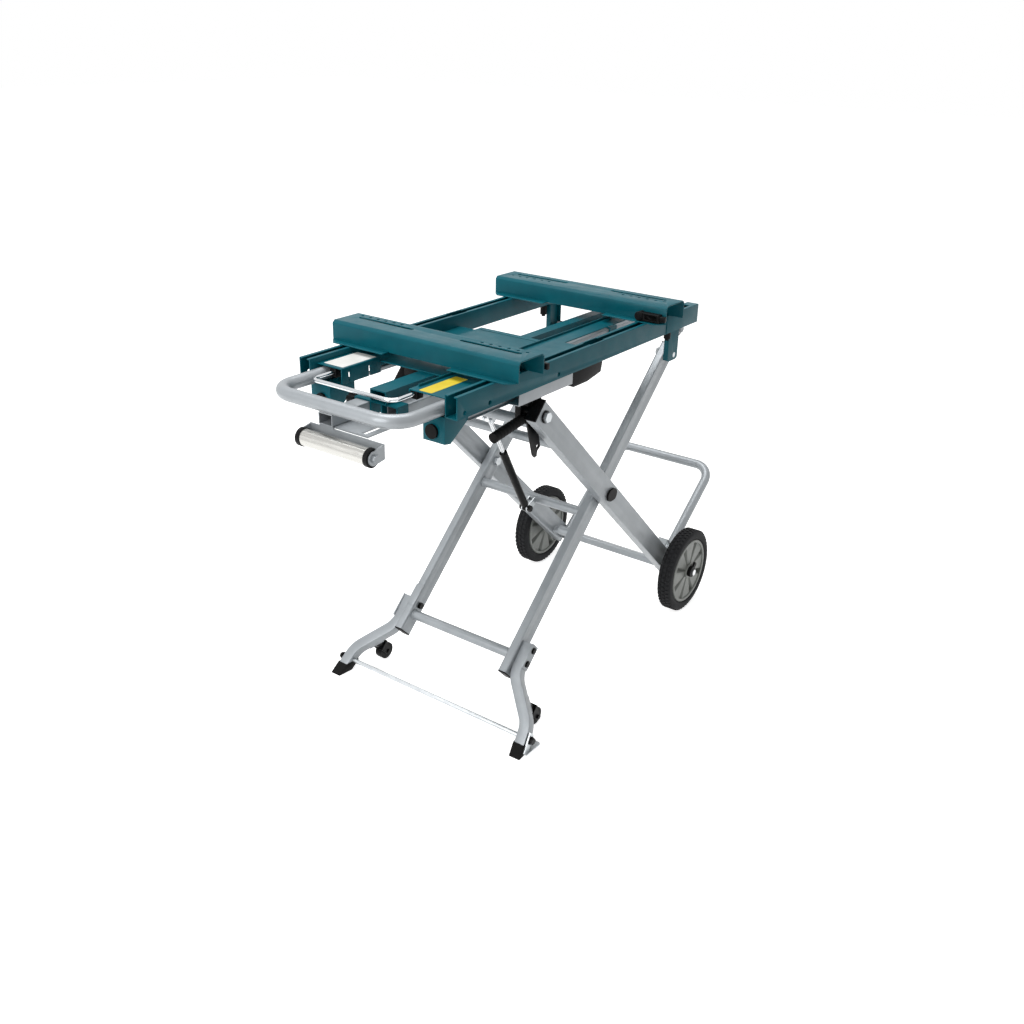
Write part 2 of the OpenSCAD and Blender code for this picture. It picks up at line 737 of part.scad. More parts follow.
module wheel_brackets() color(steel) {
    ears(top_tube, cross_tube_d + 2, strut_top);
    // the ends of the strut's upper bolt: the eye hangs free between the
    // ears, because this pivot is where the linkage is opened
    y0 = strut_y - eye_w / 2 - gap;
    y1 = strut_y + eye_w / 2 + gap;
    rod_y(strut_pin_d, y0 - ear_t, y0, strut_top);
    hex_y(13, y0 - ear_t - 5, y0 - ear_t, strut_top);
    rod_y(strut_pin_d, y1, y1 + ear_t + 4, strut_top);
    hex_y(13, y1 + ear_t, y1 + ear_t + 6, strut_top);
    // strap on the near wheel leg's upper edge
    top = wheel_leg_depth / 2;
    on_wheel_leg()
        translate([axle_s - 80, -wheel_leg_out, 0]) {
            block([0, 0, top], [3, wheel_leg_width, top + 17]);
            block([43, 0, top], [46, wheel_leg_width, top + 17]);
            block([0, 0, top + 14], [46, wheel_leg_width, top + 17]);
        }
}

// Axle, pivot bolts and caps of the wheel frame

hub_half = tyre_w / 2;
wheel_in = wheel_y - hub_half;
wheel_out = wheel_y + hub_half;

module axle_rod() color(steel) {
    rod_y(axle_d, -wheel_out - 14, wheel_out + 14, axle);
    both_sides() rod_y(axle_d + 10, wheel_leg_out, wheel_in - gap, axle);
}

module wheel_pivots() color(steel) both_sides() {
    rod_y(pivot_d, foot_leg_in - 6, wheel_leg_out, cross_pivot);
    hex_y(19, foot_leg_in - 8, foot_leg_in - gap, cross_pivot);
    rod_y(30, foot_leg_y + gap, wheel_leg_y, cross_pivot);
    rod_y(pivot_d, carriage_y0 - 6, wheel_leg_out + 6, slide_pivot);
    hex_y(19, carriage_y0 - 8, carriage_y0 - gap, slide_pivot);
    hex_y(19, wheel_leg_out + 2, wheel_leg_out + 9, slide_pivot);
}

module wheel_frame_caps() color(black) both_sides() {
    link_y(cross_pivot - [5, 0, 0], cross_pivot + [5, 0, 0], 14, 14, wheel_leg_out, wheel_leg_out + 5);
    difference() {
        rod_y(26, wheel_leg_out, wheel_leg_out + 2, slide_pivot);
        rod_y(pivot_d, wheel_leg_out - 1, wheel_leg_out + 3, slide_pivot);
    }
    difference() {
        union() {
            rod_y(axle_d + 12, wheel_out + gap, wheel_out + 9, axle);
            translate(axle) rotate([0, -leg_angle, 0])
                block([0, wheel_out + gap + 2, -5], [26, wheel_out + 8, 5]);
        }
        rod_y(axle_d, wheel_out - 1, wheel_out + 16, axle);
    }
    on_wheel_leg() for (end = [0, 1])
        translate([end > 0 ? wheel_leg_end : wheel_leg_top, 0, 0]) mirror([end > 0 ? 0 : 1, 0, 0])
            tube_plug(wheel_leg_depth, wheel_leg_width, wheel_leg_y);
}

// a plug in a leg's end, which is at X = 0 with the outside at +X
module tube_plug(depth, width, y0) {
    fit = leg_wall + play;
    block([0, y0, -depth / 2], [3, y0 + width, depth / 2]);
    block([-8, y0 + fit, -depth / 2 + fit], [0, y0 + width - fit, depth / 2 - fit]);
}

// Carriage blocks that slide in the guide channels

carriage_y0 = 129;
carriage_plate = 14;
carriage_half = 24;
head_z0 = channel_z + channel_wall + gap;
head_z1 = rail_z - gap;
lip_top = channel_z + 8;

module carriage_blocks() color(black) carriage_pair() difference() {
    x = slide_pivot[0];
    union() {
        block([x - carriage_half, carriage_y0, pivot_h], [x + carriage_half, carriage_y0 + carriage_plate, head_z1]);
        rod_y(2 * carriage_half, carriage_y0, carriage_y0 + carriage_plate, slide_pivot);
        block([x - carriage_half, carriage_y0, pivot_h + 21], [x + carriage_half, channel_in - gap, head_z1]);
        block([x - carriage_half, carriage_y0, lip_top + gap],
              [x + carriage_half, channel_out - channel_wall - gap, head_z1]);
        block([x - carriage_half, channel_in + channel_wall + gap, head_z0],
              [x + carriage_half, channel_out - channel_wall - gap, head_z1]);
    }
    rod_y(pivot_d + 2 * play, carriage_y0 - 1, wheel_leg_y, slide_pivot);
}

// both carriage blocks; the far one has a boss where the near one holds
// the lock lever
module carriage_pair() {
    mirror([0, 1, 0]) children();
    children();
    difference() {
        rod_y(30, carriage_y0 + carriage_plate, wheel_leg_y - gap, slide_pivot);
        rod_y(pivot_d + 2 * play, carriage_y0, wheel_leg_y, slide_pivot);
    }
}

// Lock lever with its hook, on the near slide pivot

lever_y0 = carriage_y0 + carriage_plate + gap;
lever_y1 = wheel_leg_y - gap;
lever_mid = (lever_y0 + lever_y1) / 2;
lever_len = 127;
lever_drop = 7.7;
grip_d = 21;
grip_start = 36;

module on_lever() { translate(slide_pivot) mirror([0, 1, 0]) rotate([0, 180 - lever_drop, 0]) children(); }

module lock_lever() color(steel) difference() {
    union() {
        on_lever() {
            rod_y(34, lever_y0, lever_y1);
            block([0, lever_mid - 3, -7], [grip_start, lever_mid + 3, 7]);
            rod_x(10, grip_start - 4, lever_len - 4, [0, lever_mid, 0]);
        }
        translate(slide_pivot)
            slab_y([[-16, -5], [-14, -20], [8, -92], [14, -99], [22, -97], [23, -87],
                    [33, -80], [30, -66], [23, -40], [16, -5]],
                   -lever_mid - 2, -lever_mid + 2);
    }
    rod_y(pivot_d + 2 * play, -lever_y1 - 1, -lever_y0 + 1, slide_pivot);
    rod_y(9, -lever_mid - 4, -lever_mid + 4, slide_pivot + [24, 0, -76]);
}

module lever_grip() color(black) on_lever() difference() {
    union() {
        rod_x(grip_d, grip_start, lever_len - 2, [0, lever_mid, 0]);
        rod_x(grip_d - 4, lever_len - 3, lever_len, [0, lever_mid, 0]);
    }
    rod_x(10 + 2 * play, grip_start - 1, lever_len - 4 + play, [0, lever_mid, 0]);
}

// Foot frame: legs, cross tubes, feet and their plates

foot_leg_top = leg_arm + 16;
foot_x = -foot_leg_low + 81;
foot_bolt_x = [foot_x - 12, foot_x - 44];
foot_bolt_d = 8;

module foot_leg() difference() {
    on_foot_leg() leg_tube(-foot_leg_low, foot_leg_top, foot_leg_depth, foot_leg_width, foot_leg_in);
    for (at = [fixed_pivot, cross_pivot])
        rod_y(pivot_d + 2 * play, foot_leg_in - 1, foot_leg_y + 1, at);
    foot_bolt_holes();
}

module foot_bolt_holes() {
    on_foot_leg() for (x = foot_bolt_x)
        rod_y(foot_bolt_d, foot_leg_in - 20, foot_leg_y + 60, [x, 0, 0]);
}

module foot_leg_near() { color(grey) mirror([0, 1, 0]) foot_leg(); }
module foot_leg_far() { color(grey) foot_leg(); }

foot_low_tube = foot_leg_point(-foot_leg_low + 45, 0);
foot_in = foot_leg_y;
foot_out = foot_in + foot_side;
foot_mid = foot_in + foot_side / 2;
foot_wall = 2.5;

// A foot is one square tube with two bends. It lies in a plane a little
// steeper than the leg, and runs down, outward and down again.
foot_tilt = 2.6;
foot_angle = leg_angle + foot_tilt;
foot_bend = 60;
foot_turn = [41, 33];
foot_toe = foot_turn[0] - foot_turn[1];
foot_run = 87.5 / cos(foot_turn[0]);
knee = [73, foot_mid, 0];
ankle = knee + foot_run * [cos(foot_turn[0]), sin(foot_turn[0]), 0];
knee_cut = foot_bend * tan(foot_turn[0] / 2);
ankle_cut = foot_bend * tan(foot_turn[1] / 2);
// distance from a foot's top down to the floor, along the foot
floor_u = foot_leg_point(foot_x, 0)[2] / sin(foot_angle);
toe_len = (floor_u - ankle[0]) / cos(foot_toe) + 30;

// runs children with local X down a foot from its top, Y across the stand
module on_foot()
    on_foot_leg() translate([foot_x, 0, 0]) rotate([0, -foot_tilt, 0]) mirror([1, 0, 0]) children();

function foot_point(u, y, v) = foot_leg_point(foot_x, 0) + [
    -u * cos(foot_angle) - v * sin(foot_angle), y,
    -u * sin(foot_angle) + v * cos(foot_angle)];

bar_u = 188;
bar_y = ankle[1] + (bar_u - ankle[0]) * tan(foot_toe);
bar_at = foot_point(bar_u, 0, 0);
foot_bar_d = 10;
bar_in = bar_y - foot_side / 2 / cos(foot_toe) + 1.5;
bar_out = bar_y + foot_side / 2 / cos(foot_toe);
// where a foot's middle line meets the floor
sole_x = foot_point(floor_u, 0, 0)[0];
tab_x = sole_x - 0.193;
stub_tube = foot_leg_point(-113, -9);
stub_d = 20;
stub_end = -104;

module foot_tubes() color(grey) {
    round_tube_y(cross_tube_d, 2, -foot_leg_in, foot_leg_in, strut_tube);
    round_tube_y(cross_tube_d, 2, -foot_leg_in, foot_leg_in, foot_low_tube);
    round_tube_y(stub_d, 3, -foot_leg_in, stub_end, stub_tube);
}

// the toe's straight end, made long enough to be cut by the floor
module toe_bar(side) translate(ankle) rotate([0, 0, foot_toe])
    block([ankle_cut, -side / 2, -side / 2], [toe_len, side / 2, side / 2]);

// one edge of a foot's outline, a distance to the left of its middle line
function arc_points(c, r, from, to) = [
    for (k = [0:10]) c + r * [cos(from + (to - from) * k / 10), sin(from + (to - from) * k / 10)]];
function foot_edge(left, start) = concat(
    [[start, foot_mid + left]],
    arc_points([knee[0] - knee_cut, foot_mid + foot_bend], foot_bend - left, -90, -90 + foot_turn[0]),
    arc_points([ankle[0], ankle[1]] - ankle_cut * [cos(foot_turn[0]), sin(foot_turn[0])]
               + foot_bend * [sin(foot_turn[0]), -cos(foot_turn[0])],
               foot_bend + left, 90 + foot_turn[0], 90 + foot_toe),
    [[ankle[0], ankle[1]] + toe_len * [cos(foot_toe), sin(foot_toe)]
     + left * [-sin(foot_toe), cos(foot_toe)]]);

// a foot's square tube along its two bends
module foot_shape(side, start) {
    h = side / 2;
    right = foot_edge(-h, start);
    translate([0, 0, -h]) linear_extrude(side)
        polygon(concat(foot_edge(h, start), [for (k = [len(right) - 1:-1:0]) right[k]]));
}

// everything near a foot that lies lower than a height, or higher
module below(z) block([sole_x - 300, 0, z - 400], [0, 500, z]);
module above(z) block([sole_x - 300, 0, z], [0, 500, z + 800]);

module foot_solid() difference() {
    on_foot() foot_shape(foot_side, 0);
    below(3);
}

module feet() color(grey) both_sides() difference() {
    foot_solid();
    on_foot() foot_shape(foot_side - 2 * foot_wall, -1);
    foot_bolt_holes();
    rod_y(foot_bar_d, bar_y - 40, bar_y, bar_at);
    rod_y(foot_bolt_d, bar_y, bar_y + 40, bar_at);
    on_caster() rod_z(9 + 2 * play, caster_seat - 5, caster_seat + 6, [stem_x, 0, 0]);
}

plate_out = foot_out + 3;
caster_r = caster_d / 2;
caster_at = foot_point(132.6, 216, -59.5);
stem_x = 6.7;
// distances from the wheel's middle to the tube's underside and to the
// top of the swivel
caster_seat = 59.5 - foot_side / 2;
caster_top = caster_seat - 3 - gap;

// runs children square to the foot's underside in a caster's own frame,
// its wheel at the origin
module on_caster() { translate(caster_at) rotate([0, -foot_angle, 0]) children(); }

module foot_plates() color(pale) {
    both_sides() {
        difference() {
            on_foot_leg() block([foot_x - 56, foot_out, -13], [foot_x, plate_out, 13]);
            foot_solid();
            foot_bolt_holes();
        }
        on_caster() difference() {
            translate([stem_x, 0, 0]) rotate([0, 0, -foot_turn[0]])
                block([-19, -foot_side / 2, caster_seat - 3], [19, foot_side / 2, caster_seat]);
            rod_z(9 + 2 * play, caster_seat - 5, caster_seat + 1, [stem_x, 0, 0]);
        }
    }
    // small pad on the far leg's upper face
    on_foot_leg()
        block([-foot_leg_low + 61, foot_leg_in, foot_leg_depth / 2],
              [-foot_leg_low + 111, foot_leg_y, foot_leg_depth / 2 + 3]);
}

// Rubber shoes, plugs and fasteners of the foot frame

side_reach = 276;

shoe_side = foot_side + 3.6;
shoe_h = 22;
bar_nut_d = 12;
bar_washer_d = 18;

module foot_shoes() color(black) both_sides() difference() {
    on_foot() toe_bar(shoe_side);
    below(0);
    above(shoe_h);
    foot_solid();
    // room for the bar and for the bolt in line with it
    rod_y(foot_bar_d + 2 * gap, 0, bar_y, bar_at);
    rod_y(bar_nut_d + 2 * gap, bar_y, side_reach, bar_at);
}

module leg_plugs() color(black) both_sides() on_foot_leg() {
    translate([-foot_leg_low, 0, 0]) mirror([1, 0, 0])
        tube_plug(foot_leg_depth, foot_leg_width, foot_leg_in);
    translate([foot_leg_top, 0, 0]) tube_plug(foot_leg_depth, foot_leg_width, foot_leg_in);
}

module foot_bolts() color(black) {
    both_sides() {
        on_foot_leg() for (x = foot_bolt_x) {
            rod_y(foot_bolt_d, foot_leg_in + gap, plate_out + 1, [x, 0, 0]);
            rod_y(15, plate_out, plate_out + 2, [x, 0, 0]);
            rod_y(11, plate_out + 2, plate_out + 4, [x, 0, 0]);
        }
        // only the upper bolt has a nut inside, clear of the cross tube
        on_foot_leg() {
            rod_y(foot_bolt_d, foot_leg_in - 7, foot_leg_in + 5, [foot_bolt_x[0], 0, 0]);
            hex_y(13, foot_leg_in - 7, foot_leg_in, [foot_bolt_x[0], 0, 0]);
        }
        // bolts outside the feet, in line with the bar
        rod_y(foot_bolt_d, bar_y, side_reach - 6, bar_at);
        rod_y(bar_nut_d, bar_out + 1.2, side_reach - 8, bar_at);
        rod_y(bar_washer_d, side_reach - 8, side_reach - 6, bar_at);
        hex_y(13, side_reach - 6, side_reach, bar_at);
    }
    // bolt of the strut's lower eye
    y0 = strut_y - eye_w / 2 - gap - ear_t;
    y1 = strut_y + eye_w / 2 + gap + ear_t;
    rod_y(strut_pin_d, y0 - 2, y1 + 5, strut_low);
    hex_y(13, y0 - 7, y0, strut_low);
    hex_y(13, y1, y1 + 6, strut_low);
}

// flat tab with a hole behind the near shoe, on a strap down the foot
module anchor_tab() mirror([0, 1, 0]) difference() {
    union() {
        translate([0, 0, 3]) linear_extrude(3)
            polygon([[tab_x, 262], [tab_x, side_reach], [tab_x + 48, side_reach],
                     [tab_x + 52, side_reach - 4], [tab_x + 52, 252], [tab_x + 48, 248],
                     [tab_x + 24, 248], [tab_x + 24, 262]]);
        on_foot() translate(ankle) rotate([0, 0, foot_toe])
            block([16, foot_side / 2, -8], [62, foot_side / 2 + 5.3, 8]);
    }
    rod_z(9, 0, 10, [anchor_at[0], anchor_at[1], 0]);
    foot_solid();
    on_foot() toe_bar(shoe_side + 2 * play);
    below(3);
    rod_y(bar_nut_d + 2 * gap, bar_out - 2, bar_out + 20, bar_at);
    rod_y(bar_washer_d + 2 * gap, side_reach - 8 - gap, side_reach, bar_at);
}

anchor_at = [tab_x + 39, 262];

module foot_brackets() color(steel) {
    ears(strut_tube, cross_tube_d, strut_low);
    anchor_tab();
    // bar between the feet
    rod_y(foot_bar_d, -bar_in, bar_in, bar_at);
}

// Gas strut

strut_run = norm(strut_top - strut_low);
strut_turn = atan2(strut_top[2] - strut_low[2], strut_top[0] - strut_low[0]);
cylinder_end = 189;
rod_inner = 122;

module on_strut() { translate(strut_low) rotate([0, -strut_turn, 0]) children(); }

module strut_cylinder() color(black) on_strut() difference() {
    union() {
        rod_y(eye_d, strut_y - eye_w / 2, strut_y + eye_w / 2);
        rod_x(9, 4, 16, [0, strut_y, 0]);
        rod_x(strut_d, 12, cylinder_end, [0, strut_y, 0]);
    }
    rod_y(strut_pin_d + 2 * play, -40, 40);
    rod_x(strut_rod_d + 2 * play, 20, cylinder_end + 1, [0, strut_y, 0]);
}

module strut_rod() color(steel) on_strut() difference() {
    union() {
        rod_x(strut_rod_d, rod_inner, strut_run - 5, [0, strut_y, 0]);
        rod_y(eye_d, strut_y - eye_w / 2, strut_y + eye_w / 2, [strut_run, 0, 0]);
    }
    rod_y(strut_pin_d + 0.4, -40, 40, [strut_run, 0, 0]);
}

// Wheels

rim_r = wheel_r - 25;
rim_wall = 5;
hub_d = 40;
vanes = 8;

module tyre() {
    w = tyre_w / 2;
    turn = 9;
    translate([axle[0], wheel_y, axle[2]]) rotate([90, 0, 0]) rotate_extrude($fn = 120) difference() {
        union() {
            translate([rim_r, -w]) square([wheel_r - rim_r - turn, tyre_w]);
            translate([rim_r, -w + turn]) square([wheel_r - rim_r, tyre_w - 2 * turn]);
            for (side = [-1, 1])
                translate([wheel_r - turn, side * (w - turn)]) circle(r = turn, $fn = 32);
        }
        // shallow tread grooves round the tyre
        for (y = [-8, 0, 8])
            translate([wheel_r - 2, y - 1]) square([4, 2]);
    }
}

module rim() {
    w = tyre_w / 2;
    difference() {
        union() {
            difference() {
                rod_y(2 * rim_r, wheel_y - w + 1, wheel_y + w - 1, axle, $fn = 120);
                rod_y(2 * (rim_r - rim_wall), wheel_y - w, wheel_y + w, axle, $fn = 120);
            }
            rod_y(hub_d, wheel_in, wheel_out, axle);
            translate(axle) for (k = [0:vanes - 1]) rotate([0, 360 / vanes * (k + 0.5), 0])
                block([hub_d / 2 - 3, wheel_y - 13, -3], [rim_r - rim_wall + 1, wheel_y + 13, 3]);
            difference() {
                rod_y(2 * (rim_r - rim_wall + 1), wheel_y - 2, wheel_y + 2, axle, $fn = 120);
                rod_y(hub_d - 4, wheel_y - 3, wheel_y + 3, axle);
            }
        }
        rod_y(axle_d + 2 * play, wheel_in - 1, wheel_out + 1, axle);
    }
}

module tyre_near() { color(black) mirror([0, 1, 0]) tyre(); }
module tyre_far() { color(black) tyre(); }
module rim_near() { color(grey) mirror([0, 1, 0]) rim(); }
module rim_far() { color(grey) rim(); }

// Casters

module caster_fork() {
    side = 12;
    on_caster() {
        difference() {
            union() {
                for (y = [-side - 2.5, side]) {
                    rod_y(14, y, y + 2.5);
                    slab_y([[stem_x - 13, caster_r + 6], [stem_x + 13, caster_r + 6],
                            [7, 0], [-7, 0]], y, y + 2.5);
                }
                block([stem_x - 13, -side - 2.5, caster_r + 3], [stem_x + 13, side + 2.5, caster_r + 6]);
            }
            rod_y(6, -20, 20);
        }
        rod_y(6, -side - 5, side + 5);
        rod_y(10, -side - 6, -side - 2.5);
        rod_y(10, side + 2.5, side + 6);
        rod_z(22, caster_r + 6, caster_top, [stem_x, 0, 0]);
        // stem through the plate and the tube's wall, with its head inside
        rod_z(9, caster_top - 1, caster_seat + foot_wall + 5, [stem_x, 0, 0]);
        rod_z(14, caster_seat + foot_wall + gap, caster_seat + foot_wall + 5, [stem_x, 0, 0]);
    }
}

module caster_wheel() on_caster() difference() {
    union() {
        rod_y(caster_d, -9, 9);
        rod_y(14, -12 + gap, 12 - gap);
    }
    rod_y(6 + 2 * play, -20, 20);
}

module caster_fork_near() { color(black) mirror([0, 1, 0]) caster_fork(); }
module caster_fork_far() { color(black) caster_fork(); }
module caster_wheel_near() { color(black) mirror([0, 1, 0]) caster_wheel(); }
module caster_wheel_far() { color(black) caster_wheel(); }

place() {
    rail_near();
    rail_far();
    cross_plate();
    rear_member();
    near_shelf();
    far_shelf();
    front_blocks();
    table_plugs();
    handle();
    guide_channels();
    stop_blocks();
    pivot_posts();
    arm_guide();
    table_bolts();
    bail_rod();
    bail_clips();
    front_arm();
    front_roller_bracket();
    front_roller();
    front_roller_rings();
    front_arm_knob();
    rear_arm();
    rear_roller_bracket();
    rear_roller();
    rear_roller_rings();
    rear_arm_knob();
    front_crossbar();
    rear_crossbar();
    front_clamp();
    rear_clamp();
    wheel_leg_near();
    wheel_leg_far();
    wheel_tubes();
    rear_loop();
    wheel_brackets();
    axle_rod();
    wheel_pivots();
    wheel_frame_caps();
    carriage_blocks();
    lock_lever();
    lever_grip();
    foot_leg_near();
    foot_leg_far();
    foot_tubes();
    feet();
    foot_plates();
    foot_shoes();
    leg_plugs();
    foot_bolts();
    foot_brackets();
    strut_cylinder();
    strut_rod();
    tyre_near();
    rim_near();
    tyre_far();
    rim_far();
    caster_fork_near();
    caster_wheel_near();
    caster_fork_far();
    caster_wheel_far();
}
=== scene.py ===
# %% [markdown]
# A folding miter saw stand: a rail table on scissor legs with two large
# wheels. The imported solids are the frame of the scene, so every size is
# read from them. This first cell loads them.

# %% Load the stand's solids
import json
import math

import bmesh
import bpy
from mathutils import Matrix, Vector

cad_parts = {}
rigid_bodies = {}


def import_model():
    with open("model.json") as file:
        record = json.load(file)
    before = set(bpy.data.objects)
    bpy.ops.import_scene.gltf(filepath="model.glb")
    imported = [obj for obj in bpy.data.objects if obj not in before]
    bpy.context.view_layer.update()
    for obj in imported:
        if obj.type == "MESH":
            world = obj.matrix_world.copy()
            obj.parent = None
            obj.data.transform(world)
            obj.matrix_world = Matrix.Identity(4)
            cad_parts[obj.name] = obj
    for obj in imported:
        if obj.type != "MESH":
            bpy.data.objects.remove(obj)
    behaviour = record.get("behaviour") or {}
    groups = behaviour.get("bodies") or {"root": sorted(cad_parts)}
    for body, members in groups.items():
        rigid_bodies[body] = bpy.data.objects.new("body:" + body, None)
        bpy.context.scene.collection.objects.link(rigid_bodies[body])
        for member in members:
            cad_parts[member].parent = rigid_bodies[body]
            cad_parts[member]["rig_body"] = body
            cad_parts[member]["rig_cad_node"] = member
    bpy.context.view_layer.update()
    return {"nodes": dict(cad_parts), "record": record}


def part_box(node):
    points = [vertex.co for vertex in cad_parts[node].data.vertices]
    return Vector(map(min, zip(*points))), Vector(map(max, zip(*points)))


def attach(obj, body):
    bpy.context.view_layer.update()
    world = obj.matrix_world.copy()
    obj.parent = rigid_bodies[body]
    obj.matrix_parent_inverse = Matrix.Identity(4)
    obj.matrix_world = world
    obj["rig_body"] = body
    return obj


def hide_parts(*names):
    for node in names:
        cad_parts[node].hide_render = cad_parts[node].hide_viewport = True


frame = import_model()
MM = 0.001

# %% [markdown]
# Blender's operators act on what is selected, and the loaded solids come in
# selected. These helpers pick one object, switch to edit mode and settle a
# finished piece at the origin with its place in its mesh, as the solids are.


# %% Helpers for picking and settling a piece
def only(obj):
    bpy.ops.object.select_all(action="DESELECT")
    obj.select_set(True)
    bpy.context.view_layer.objects.active = obj


def settle(obj, name):
    only(obj)
    bpy.ops.object.transform_apply(location=True, rotation=True, scale=True)
    obj.name = name
    obj.data.name = name
    return obj


def smooth(obj, degrees=32):
    only(obj)
    bpy.ops.object.shade_smooth_by_angle(angle=math.radians(degrees))


def join(parts, name):
    bpy.ops.object.select_all(action="DESELECT")
    for part in parts:
        part.select_set(True)
    bpy.context.view_layer.objects.active = parts[0]
    bpy.ops.object.join()
    return settle(parts[0], name)


def put_in_scene(obj):
    bpy.context.scene.collection.objects.link(obj)


def bevel_edges(offset, segments):
    """Fix the active object's scale in its mesh and round all of its edges."""
    bpy.ops.object.transform_apply(location=True, rotation=True, scale=True)
    bpy.ops.object.mode_set(mode="EDIT")
    bpy.ops.mesh.select_all(action="SELECT")
    bpy.ops.mesh.bevel(offset=offset, segments=segments)
    bpy.ops.object.mode_set(mode="OBJECT")


# %% [markdown]
# Every finish is a small node tree on the shader that Blender gives a new
# material. Colours are written as sRGB hex, as one would pick them in a
# photo, and turned to linear light by one function. Patterns read Object
# coordinates, which here are real metres, so a grain's scale comes from its
# real size.


# %% Helpers for finishes
def linear(code):
    parts = [int(code[i:i + 2], 16) / 255 for i in (1, 3, 5)]
    return [c / 12.92 if c <= 0.04045 else ((c + 0.055) / 1.055) ** 2.4 for c in parts] + [1.0]


def shader_of(made):
    return made.node_tree.nodes["Principled BSDF"]


def finish_named(name, base, metallic=0.0, roughness=0.5, coat=0.0, sheen_level=0.5):
    made = bpy.data.materials.new(name)
    made.use_nodes = True
    shader = shader_of(made)
    shader.inputs["Base Color"].default_value = linear(base)
    shader.inputs["Metallic"].default_value = metallic
    shader.inputs["Roughness"].default_value = roughness
    shader.inputs["Coat Weight"].default_value = coat
    shader.inputs["Specular IOR Level"].default_value = sheen_level
    shader.inputs["Coat Roughness"].default_value = 0.12
    return made


def node(made, kind, settings=(), links=()):
    added = made.node_tree.nodes.new(kind)
    for socket, value in dict(settings).items():
        added.inputs[socket].default_value = value
    for socket, source in dict(links).items():
        made.node_tree.links.new(source, added.inputs[socket])
    return added


def wire(made, source, socket):
    made.node_tree.links.new(source, shader_of(made).inputs[socket])


def noise(made, grain_mm, detail, scale=(1, 1, 1)):
    place = node(made, "ShaderNodeTexCoord").outputs["Object"]
    stretched = node(made, "ShaderNodeMapping", {"Scale": scale}, {"Vector": place}).outputs[0]
    return node(made, "ShaderNodeTexNoise", {"Scale": 1 / (grain_mm * MM), "Detail": detail},
                {"Vector": stretched}).outputs["Fac"]


def ramp(made, source, low_stop, high_stop):
    added = node(made, "ShaderNodeValToRGB", (), {"Fac": source})
    for element, (position, colour) in zip(added.color_ramp.elements, (low_stop, high_stop)):
        element.position = position
        element.color = colour
    return added.outputs["Color"]


def grey_stop(value):
    return [value, value, value, 1.0]


def bump(made, source, height_mm, strength):
    relief = node(made, "ShaderNodeBump", {"Strength": strength, "Distance": height_mm * MM},
                  {"Height": source})
    wire(made, relief.outputs["Normal"], "Normal")


def soft_noise_colour(made, grain_mm, dark, light):
    grain = noise(made, grain_mm, 4.0)
    wire(made, ramp(made, grain, (0.35, linear(dark)), (0.65, linear(light))), "Base Color")


def rough_noise(made, grain_mm, low, high, detail=4.0, scale=(1, 1, 1)):
    grain = noise(made, grain_mm, detail, scale)
    wire(made, ramp(made, grain, (0.3, grey_stop(low)), (0.7, grey_stop(high))), "Roughness")


# %% [markdown]
# The table and the crossbars are pressed steel sheet in a glossy teal stove
# enamel. Enamel is a coloured film with a clear, slightly wavy top, so it
# gets a coat, a very faint orange peel and a little unevenness in its gloss.

# %% Teal stove enamel on pressed sheet
teal_enamel = finish_named("teal stove enamel", "#005460", roughness=0.4, coat=0.05, sheen_level=0.14)
soft_noise_colour(teal_enamel, 60, "#00515D", "#005965")
rough_noise(teal_enamel, 25, 0.36, 0.46)
bump(teal_enamel, noise(teal_enamel, 3.0, 2.0), 0.05, 0.25)

# %% [markdown]
# Legs, tubes and handle carry a silver-grey powder coat. Powder melts into a
# slightly pebbled skin with metal flakes in it, which the eye reads as a
# satin grey with a soft broad highlight.

# %% Silver-grey powder coat on steel tube
silver_powder = finish_named("silver powder coat", "#9CA1A5", metallic=0.3, roughness=0.4)
soft_noise_colour(silver_powder, 45, "#989DA1", "#A0A5A9")
rough_noise(silver_powder, 12, 0.34, 0.42)
bump(silver_powder, noise(silver_powder, 1.2, 2.0), 0.03, 0.25)

# %% [markdown]
# Bolts, brackets and the strut's ears are zinc plated: a bright bluish metal
# with cloudy patches. The axle end and the strut's rod are finer and
# smoother, and the support rollers are thin rolled tube with fine scratches
# along it.

# %% Bare and plated steel
zinc_plate = finish_named("zinc plated steel", "#C6CACD", metallic=1.0, roughness=0.34)
soft_noise_colour(zinc_plate, 14, "#BDC1C4", "#C9CDCF")
rough_noise(zinc_plate, 10, 0.3, 0.38)

ground_rod = finish_named("ground steel rod", "#D0D2D4", metallic=1.0, roughness=0.18)
rough_noise(ground_rod, 4, 0.13, 0.24)

roller_steel = finish_named("rolled steel tube", "#BDBCB8", metallic=1.0, roughness=0.3)
# fine lines along the tube: 60 mm long in Y, 1.2 mm apart round it
LINE_MM = 60
LINE_SQUEEZE = (50, 1, 50)
rough_noise(roller_steel, LINE_MM, 0.2, 0.4, 6.0, LINE_SQUEEZE)
bump(roller_steel, noise(roller_steel, LINE_MM, 5.0, LINE_SQUEEZE), 0.03, 0.3)

chrome_rod = finish_named("chromed rod", "#D9DCDF", metallic=1.0, roughness=0.07)
rough_noise(chrome_rod, 15, 0.05, 0.11)

# %% [markdown]
# The black pieces are moulded nylon with a fine spark-eroded grain, black
# enamelled steel on bolts and forks, soft rubber on the shoes and grip, and
# tyre rubber, which is greyer because it takes dust.

# %% Black plastic, enamel and rubber
black_nylon = finish_named("moulded black nylon", "#0B0B0C", roughness=0.45, sheen_level=0.1)
soft_noise_colour(black_nylon, 30, "#0A0A0B", "#0F0F10")
bump(black_nylon, noise(black_nylon, 0.9, 2.0), 0.06, 0.5)

black_enamel = finish_named("black enamelled steel", "#09090A", roughness=0.3, coat=0.03, sheen_level=0.12)
rough_noise(black_enamel, 14, 0.25, 0.4)

